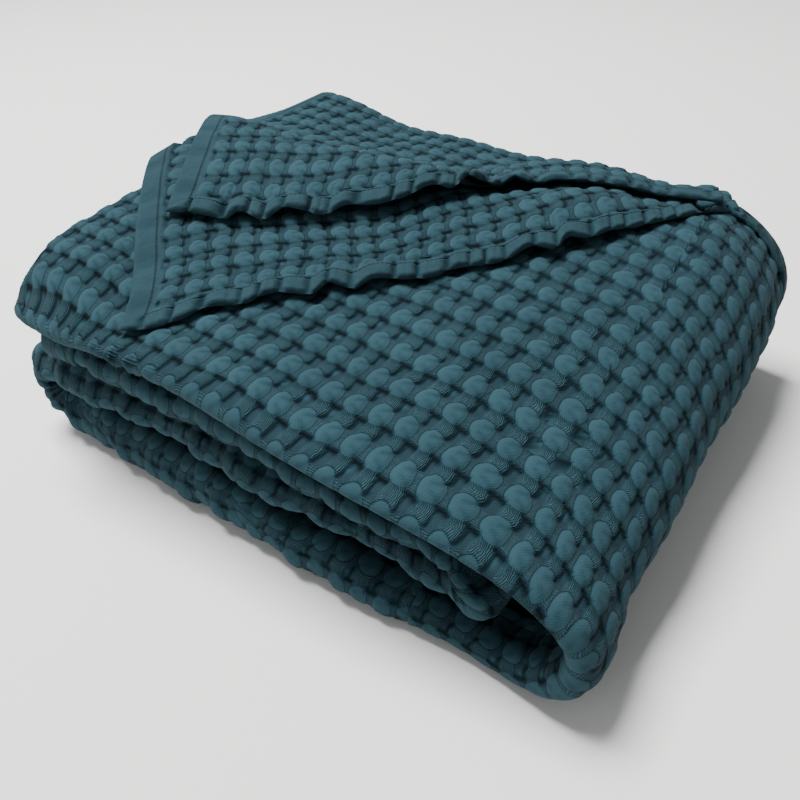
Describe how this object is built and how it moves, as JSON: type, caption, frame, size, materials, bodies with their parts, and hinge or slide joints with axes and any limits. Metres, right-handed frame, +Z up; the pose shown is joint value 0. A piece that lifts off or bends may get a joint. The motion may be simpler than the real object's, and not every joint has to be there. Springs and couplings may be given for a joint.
{
  "type": "folded blanket",
  "caption": "Soft waffle weave cotton blanket, folded into a rectangular stack with its hemmed upper plies drawn back aslant.",
  "frame": {"origin": "middle of the bottom of the blanket's bounding box, on the surface it rests on", "axes": "+X along the folded strip to the rounded turn at its end, +Y from the front folds to the back folds, +Z up"},
  "size_m": [0.4972, 0.4014, 0.2022],
  "materials": {
    "cotton": "matte teal cotton in a deep waffle weave"
  },
  "bodies": {
    "root": {"blanket": "cotton"}
  },
  "joints": []
}
